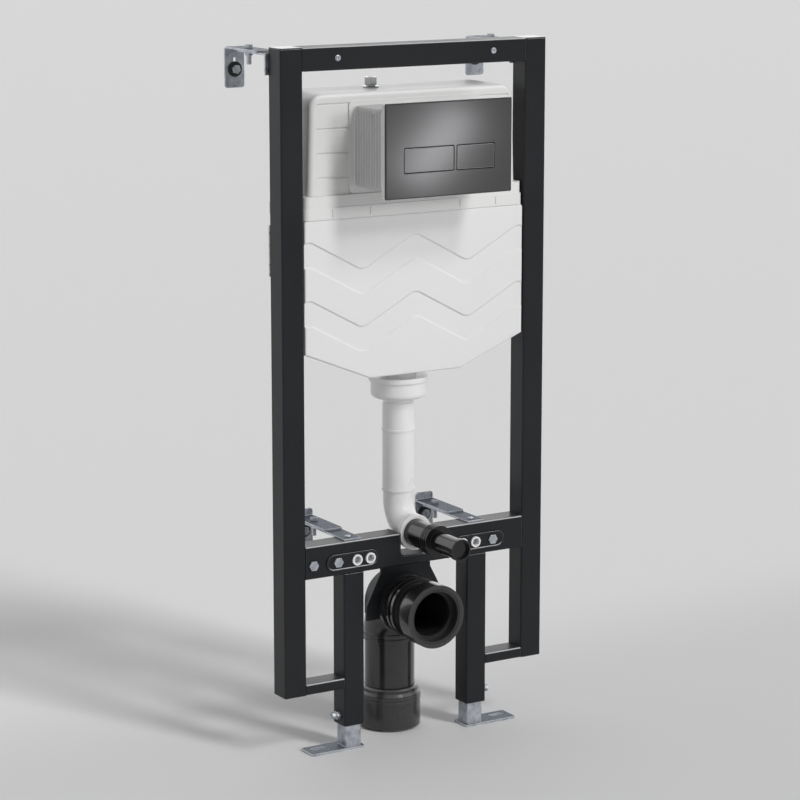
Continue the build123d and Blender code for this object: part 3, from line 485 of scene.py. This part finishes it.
deepBlackLook = {
    "metallic": 0.0, "coat": 0.1,
    "dark": (0.004, 0.004, 0.004), "light": (0.008, 0.008, 0.008), "edge": (0.10, 0.10, 0.10),
    "paintedEdgeAmount": 0.6, "edgeRadius": 0.0008, "cloudScale": 16, "grainScale": 450,
    "roughness": (0.18, 0.26), "bump": 0.04, "bumpDepth": 0.0004,
}
rubberLook = {
    "metallic": 0.0, "coat": 0.0,
    "dark": (0.02, 0.02, 0.02), "light": (0.03, 0.03, 0.03), "edge": (0.07, 0.07, 0.07),
    "paintedEdgeAmount": 0.5, "edgeRadius": 0.001, "cloudScale": 20, "grainScale": 600,
    "roughness": (0.45, 0.6), "bump": 0.1, "bumpDepth": 0.0004,
}
# Painted shade on zinc's level top faces; painted highlights on its edges and forward-and-up
# crests
zincLook = {
    "metallic": 0.78, "coat": 0.0, "edgeMetal": 0.2, "grazing": (0.35, 0.36, 0.38),
    "dark": (0.38, 0.41, 0.46), "light": (0.70, 0.73, 0.78), "edge": (0.90, 0.92, 0.95),
    "paintedTopShade": (0.14, 0.15, 0.17), "paintedCrestHighlight": (0.9, 0.92, 0.95), "paintedEdgeAmount": 0.9,
    "edgeRadius": 0.0012, "cloudScale": 90, "grainScale": 700,
    "roughness": (0.24, 0.46), "bump": 0.12, "bumpDepth": 0.0004,
}
# Painted dark edge line on chrome, where sharp edges turn nearly black
chromeLook = {
    "metallic": 1.0, "coat": 0.0,
    "dark": (0.42, 0.43, 0.44), "light": (0.52, 0.53, 0.54), "edge": (0.03, 0.03, 0.03),
    "paintedEdgeAmount": 1.0, "edgeRadius": 0.0010, "cloudScale": 60, "grainScale": 900,
    "roughness": (0.08, 0.16), "bump": 0.03, "bumpDepth": 0.0002,
}
saddleLook = {**powderCoatLook, "shine": 0.1}
plateLook = {
    "base": (0.122, 0.122, 0.125), "bright": (0.132, 0.132, 0.135),
    "roughness": (0.25, 0.27), "bump": 0.01, "bumpDepth": 0.0001, "edgeSharpness": 12,
}
# Painted edge tones: painted dark reflection on the plate's bevel, painted highlight on the
# buttons' edges
paintedPlateEdges = {
    "darkPlate": {"colour": (0.008, 0.008, 0.008), "radius": 0.0026, "metallic": 0.6},
    "darkButton": {"colour": (0.85, 0.85, 0.86), "radius": 0.0013, "metallic": 0.1},
}


def darkMetal(name):
    # Satin dark metal with brushed streaks; painted dark reflection on the plate's bevel, painted
    # highlight on the buttons' edges
    material, nodes, links, shader = newFinish(name, metallic=1.0)
    streak = addGroup(nodes, streakGroup)
    rim = paintedPlateEdges[name]
    edge = addGroup(
        nodes, softEdge, Radius=rim["radius"], Sharpness=plateLook["edgeSharpness"]
    )
    metal = addRamp(nodes, links, edge.outputs["Edge"], 0, 1, 1, rim["metallic"])
    links.new(metal.outputs["Result"], shader.inputs["Metallic"])
    lines = spread(nodes, links, streak.outputs["Streak"], 0, 1)
    body = blendColour(nodes, links, lines, plateLook["base"], plateLook["bright"])
    colour = blendColour(nodes, links, edge.outputs["Edge"], body, rim["colour"])
    links.new(colour, shader.inputs["Base Color"])
    low, high = plateLook["roughness"]
    rough = spread(nodes, links, streak.outputs["Streak"], low, high)
    links.new(rough, shader.inputs["Roughness"])
    addBump(
        nodes, links, shader, streak.outputs["Streak"], plateLook["bump"],
        plateLook["bumpDepth"], edge.outputs["Normal"],
    )
    return material


finishes = {
    "powderCoat": finish("powderCoat", powderCoatLook),
    "tankPlastic": finish("tankPlastic", tankLook),
    "coverFoam": finish("coverFoam", coverLook),
    "whitePipe": finish("whitePipe", whitePipeLook),
    "glossBlack": finish("glossBlack", glossBlackLook),
    "deepBlack": finish("deepBlack", deepBlackLook),
    "blackRubber": finish("blackRubber", rubberLook),
    "zincPlate": finish("zincPlate", zincLook),
    "saddleCoat": finish("saddleCoat", saddleLook),
    "chrome": finish("chrome", chromeLook),
    "ribsPaintedShade": finish("ribsPaintedShade", ribShadeLook),
    "darkPlate": darkMetal("darkPlate"),
    "darkButton": darkMetal("darkButton"),
}
slotFinish = {
    "frame_steel": "powderCoat",
    "zinc_steel": "zincPlate",
    "tank_plastic": "tankPlastic",
    "cover_foam": "coverFoam",
    "plate_metallic": "darkPlate",
    "black_plastic": "glossBlack",
    "black_rubber": "blackRubber",
    "white_plastic": "whitePipe",
    "chrome": "chrome",
}
# Nodes that look different from the rest of their slot
nodeFinish = {
    "large_button": "darkButton",
    "small_button": "darkButton",
    "flush_plug": "deepBlack",
    "pipe_saddle": "saddleCoat",
}


def dressNodes():
    for part in frame["record"]["subparts"]:
        mesh = frame["nodes"][part["node"]].data
        mesh.materials.clear()
        look = nodeFinish.get(part["node"], slotFinish[part["material_slot"]])
        mesh.materials.append(finishes[look])


dressNodes()
print("finishes ready")


# Tools for the new pieces

def keepPiece(name, bm, slotName, body="frame", look=None):
    bmesh.ops.remove_doubles(bm, verts=bm.verts, dist=hair)
    bmesh.ops.recalc_face_normals(bm, faces=bm.faces)
    mesh = bpy.data.meshes.new(name)
    bm.to_mesh(mesh)
    bm.free()
    piece = bpy.data.objects.new(name, mesh)
    scene.collection.objects.link(piece)
    mesh.materials.append(finishes[look or slotFinish[slotName]])
    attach(piece, body)
    return piece


def layAlong(bm, verts, place, direction):
    # Turns a shape that stands on the origin so that it stands on place and points in direction
    turn = Vector(direction).to_track_quat("Z", "Y").to_matrix().to_4x4()
    bmesh.ops.transform(bm, matrix=Matrix.Translation(place) @ turn, verts=verts)


def turned(bm, profile, place, direction, steps=24):
    # Spins a profile of (radius, height) points in millimetres round an axis
    verts = [bm.verts.new((radius * mm, 0, height * mm)) for radius, height in profile]
    edges = [bm.edges.new(pair) for pair in zip(verts, verts[1:])]
    before = set(bm.verts) - set(verts)
    bmesh.ops.spin(
        bm, geom=verts + edges, cent=(0, 0, 0), axis=(0, 0, 1),
        angle=2 * math.pi, steps=steps, use_merge=True,
    )
    made = [v for v in bm.verts if v not in before]
    layAlong(bm, made, place, direction)


def hexPrism(bm, place, direction, acrossFlats, height, edge=0.4, turn=0):
    # A nut or bolt head with softened ends, standing on place
    radius = acrossFlats / math.sqrt(3) * mm
    made = bmesh.ops.create_cone(
        bm, cap_ends=True, segments=6, radius1=radius, radius2=radius, depth=height * mm
    )["verts"]
    bmesh.ops.translate(bm, verts=made, vec=(0, 0, height / 2 * mm))
    bmesh.ops.rotate(bm, verts=made, matrix=Matrix.Rotation(turn, 3, "Z"))
    edges = {e for v in made for e in v.link_edges}
    ends = [e for e in edges if abs(e.verts[0].co.z - e.verts[1].co.z) < hair]
    beveled = bmesh.ops.bevel(
        bm, geom=ends, affect="EDGES", offset=edge * mm, segments=2, profile=0.5, material=-1
    )["verts"]
    layAlong(bm, list(set(v for v in made if v.is_valid) | set(beveled)), place, direction)


def thread(radius, length, pitch=1.0, depth=0.45, valley=0.1, crest=0.55):
    # Profile of a threaded shank; valley and crest are shares of the pitch
    points = [(0, 0), (radius - depth, 0)]
    for ridge in range(int(length / pitch)):
        base = ridge * pitch
        points += [(radius - depth, base + valley * pitch), (radius, base + crest * pitch)]
    points += [(radius - depth, length), (0, length)]
    return points


def washerProfile(inner, outer, height, edge=0.3):
    return [
        (inner, 0), (outer, 0), (outer, height - edge), (outer - edge, height),
        (inner + edge, height), (inner, height - edge), (inner, 0),
    ]


# Wall anchors: bolt head and black washer in each wall angle; the washer's black is painted shade
# for the dark ring of shade round each head

wallAnchor = {
    "washerRadius": 12.5, "washerHeight": 2.0, "washerSteps": 32,
    "headFlats": 13, "headHeight": 6, "headEdge": 0.7, "headTurn": 0.3,
    "shankRadius": 5, "shankSteps": 16, "aboveBottom": 30, "plate": 3,
}


def addWallAnchors():
    bm = bmesh.new()
    washers = bmesh.new()
    rise, shank, plate = (wallAnchor[key] for key in ("washerHeight", "shankRadius", "plate"))
    for level in ("upper", "lower"):
        for side in ("left", "right"):
            low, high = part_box(f"{level}_{side}_wall_angle")
            x = (low.x + high.x) / 2
            z = low.z + wallAnchor["aboveBottom"] * mm
            plateFront = Vector((x, high.y - plate * mm, z))
            turned(
                washers, washerProfile(shank, wallAnchor["washerRadius"], rise),
                plateFront, forward, wallAnchor["washerSteps"],
            )
            hexPrism(
                bm, plateFront + forward * rise * mm, forward,
                wallAnchor["headFlats"], wallAnchor["headHeight"],
                edge=wallAnchor["headEdge"], turn=wallAnchor["headTurn"],
            )
            turned(
                bm, [(0, 0), (shank, 0), (shank, plate), (0, plate)],
                plateFront, backward, wallAnchor["shankSteps"],
            )
    keepPiece("wall_anchor_bolts", bm, "zinc_steel")
    # The washers' black is painted shade round each bolt head
    keepPiece("wall_anchor_washers", washers, "black_rubber")


# Cross rail: hex heads in the outer holes of the stud plates, and nuts inside the stud sleeves

railBolt = {
    "flats": 15.5, "height": 3.2, "edge": 0.8, "turn": 0.5, "places": (-196, -150.5, 149.5),
    "plateReach": 170, "plateProud": 1.5,
}
studNut = {
    "setBack": 9, "flats": 9.4, "height": 5, "edge": 0.5, "spacings": (180, 230),
    "tip": 3.0, "tipEdge": 0.6, "tipSteps": 16,
}


def studPlace(x):
    studMiddle = middle("stud_sleeves")
    return Vector((frameMiddle + x * mm, railFront, studMiddle.z))


def addRailBolts():
    bm = bmesh.new()
    for x in railBolt["places"]:
        place = studPlace(x)
        if abs(x) < railBolt["plateReach"]:
            place = place + forward * railBolt["plateProud"] * mm
        hexPrism(
            bm, place, forward, railBolt["flats"], railBolt["height"],
            edge=railBolt["edge"], turn=railBolt["turn"],
        )
    keepPiece("rail_hex_bolts", bm, "zinc_steel")


def addStudNuts():
    # A nut set back in each sleeve, with the tip of its stud
    bm = bmesh.new()
    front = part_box("stud_sleeves")[0].y
    height, tip, edge = (studNut[key] for key in ("height", "tip", "tipEdge"))
    for spacing in studNut["spacings"]:
        for sign in (-1, 1):
            place = studPlace(sign * spacing / 2)
            place.y = front + (studNut["setBack"] + height) * mm
            hexPrism(bm, place, forward, studNut["flats"], height, edge=studNut["edge"])
            turned(
                bm, [(0, 0), (tip, 0), (tip - edge, edge), (0, edge)],
                place + forward * height * mm, forward, studNut["tipSteps"],
            )
    keepPiece("stud_nuts", bm, "zinc_steel")


# Pan head screws

panHead = {
    "radius": 5.2, "height": 2.6, "slotWidth": 1.0, "slotLength": 5.2, "slotDepth": 1.4,
    "outline": ((0, 0), (1, 0), (1, 0.35), (0.86, 0.75), (0.55, 0.96), (0, 1)), "steps": 20,
}


def addPanHead(bm, place, direction, size=1.0):
    radius, height = panHead["radius"] * size, panHead["height"] * size
    profile = [(out * radius, rise * height) for out, rise in panHead["outline"]]
    turned(bm, profile, place, direction, panHead["steps"])


def cutCross(piece, heads, size=1.0):
    # Cuts a cross recess in each head with a boolean, then keeps the plain mesh
    bm = bmesh.new()
    for place, direction in heads:
        for quarter in (0, 1):
            made = bmesh.ops.create_cube(bm, size=1)["verts"]
            shape = Matrix.Diagonal((
                panHead["slotLength"] * size * mm, panHead["slotWidth"] * size * mm,
                2 * panHead["slotDepth"] * size * mm, 1,
            ))
            bmesh.ops.transform(bm, matrix=shape, verts=made)
            quarterTurn = Matrix.Rotation(quarter * math.pi / 2, 3, "Z")
            bmesh.ops.rotate(bm, verts=made, matrix=quarterTurn)
            layAlong(bm, made, place + direction * panHead["height"] * size * mm, direction)
    mesh = bpy.data.meshes.new("crossCutter")
    bm.to_mesh(mesh)
    bm.free()
    cutter = bpy.data.objects.new("crossCutter", mesh)
    scene.collection.objects.link(cutter)
    cut = piece.modifiers.new("cross", "BOOLEAN")
    cut.operation = "DIFFERENCE"
    cut.solver = "EXACT"
    cut.use_self = True
    cut.object = cutter
    graph = bpy.context.evaluated_depsgraph_get()
    shaped = bpy.data.meshes.new_from_object(piece.evaluated_get(graph))
    piece.modifiers.clear()
    piece.data = shaped
    bpy.data.objects.remove(cutter)


railScrew = {"x": 146.5, "belowTop": 18.6, "capHeight": 2}
armScrew = {"fromFront": 16}


def addScrews():
    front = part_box("top_rail")[0].y
    height = postHigh.z + railScrew["capHeight"] * mm - railScrew["belowTop"] * mm
    heads = []
    for sign in (-1, 1):
        place = Vector((frameMiddle + sign * railScrew["x"] * mm, front, height))
        heads.append((place, forward))
    for side in ("left", "right"):
        low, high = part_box(f"lower_{side}_arm")
        place = Vector(((low.x + high.x) / 2, low.y + armScrew["fromFront"] * mm, high.z))
        heads.append((place, up))
    bm = bmesh.new()
    for place, direction in heads:
        addPanHead(bm, place, direction)
    piece = keepPiece("pan_head_screws", bm, "zinc_steel")
    cutCross(piece, heads)


# Threads on the tails of the bracket bolts

boltTail = {
    "radius": 4.25, "belowArm": 5.6, "length": 14.2, "arm": 3, "behind": 13, "steps": 20,
}


def addBoltThreads():
    bm = bmesh.new()
    for level in ("upper", "lower"):
        for side in ("left", "right"):
            low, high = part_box(f"{level}_{side}_arm")
            place = Vector((
                (low.x + high.x) / 2,
                high.y - boltTail["behind"] * mm,
                high.z - (boltTail["arm"] + boltTail["belowArm"]) * mm,
            ))
            profile = thread(boltTail["radius"], boltTail["length"])
            turned(bm, profile, place, -up, boltTail["steps"])
    keepPiece("bolt_threads", bm, "zinc_steel")


# Fine ribs round the collar between the cistern and the flush plate, in a grey that is painted
# shade, with painted highlights on their edges

collarRibs = {
    "sideInset": 3, "endInset": 11, "flangeInset": 1.5, "flangeDepth": 11, "pitch": 8.0,
    "width": 5.4, "proud": 1.0, "corner": 8, "cornerSteps": 5, "fromTank": 6, "overlap": 0.5,
    "edge": 0.5, "spare": 1,
}


def roundedLoop(bm, width, height, place, corner):
    # Edges of an upright rectangle with rounded corners round place
    made = bmesh.ops.create_grid(bm, x_segments=1, y_segments=1, size=0.5)["verts"]
    shape = Matrix.Diagonal((width * mm, height * mm, 1, 1))
    bmesh.ops.transform(bm, matrix=shape, verts=made)
    rounded = bmesh.ops.bevel(
        bm, geom=made, affect="VERTICES", offset=corner * mm,
        segments=collarRibs["cornerSteps"], profile=0.5, material=-1,
    )
    verts = list({v for f in rounded["faces"] for v in f.verts} | set(rounded["verts"]))
    faces = {f for v in verts for f in v.link_faces}
    bmesh.ops.rotate(bm, verts=verts, matrix=Matrix.Rotation(math.pi / 2, 3, "X"))
    bmesh.ops.translate(bm, verts=verts, vec=place)
    edges = list({e for v in verts for e in v.link_edges})
    bmesh.ops.delete(bm, geom=list(faces), context="FACES_ONLY")
    return edges


def addCollarRibs():
    low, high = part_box("access_collar")
    centre = (low + high) / 2
    ribs = collarRibs
    width = (high.x - low.x) / mm - 2 * (ribs["sideInset"] - ribs["flangeInset"])
    height = (high.z - low.z) / mm - 2 * (ribs["endInset"] - ribs["flangeInset"])
    last = low.y / mm + ribs["flangeDepth"]
    side = ribs["proud"] - ribs["edge"]
    # How far each corner of a rib's section lies along it and how far it stands out
    section = (
        (0, -ribs["overlap"]), (0, side), (ribs["edge"], ribs["proud"]),
        (ribs["width"] - ribs["edge"], ribs["proud"]), (ribs["width"], side),
        (ribs["width"], -ribs["overlap"]),
    )
    bm = bmesh.new()
    start = high.y / mm - ribs["fromTank"]
    while start - ribs["width"] > last + ribs["spare"]:
        loops = []
        for along, out in section:
            place = Vector((centre.x, (start - along) * mm, centre.z))
            loops.append(roundedLoop(
                bm, width + 2 * out, height + 2 * out, place, ribs["corner"] + out
            ))
        for before, after in zip(loops, loops[1:] + loops[:1]):
            bmesh.ops.bridge_loops(bm, edges=before + after)
        start -= ribs["pitch"]
    # The ribs take the grey finish with painted shade instead of the white plastic
    keepPiece("collar_ribs", bm, "white_plastic", look="ribsPaintedShade")


# Saddle screws beside the flush elbow

saddle = {"x": 20.0, "fromFront": 4, "aboveBottom": 1.5, "size": 0.62}


def addSaddleScrews():
    low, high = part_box("pipe_saddle")
    front = low.y + saddle["fromFront"] * mm
    height = low.z + saddle["aboveBottom"] * mm
    heads = [
        (Vector((frameMiddle + sign * saddle["x"] * mm, front, height)), up)
        for sign in (-1, 1)
    ]
    bm = bmesh.new()
    for place, direction in heads:
        addPanHead(bm, place, direction, saddle["size"])
    piece = keepPiece("saddle_screws", bm, "zinc_steel")
    cutCross(piece, heads, saddle["size"])


addCamera()
addLights()
addWorld()
addFloor()
print("camera, light and floor ready")
addWallAnchors()
addRailBolts()
addStudNuts()
addScrews()
addSaddleScrews()
addBoltThreads()
print("fasteners ready")
addCollarRibs()
print("collar ready")
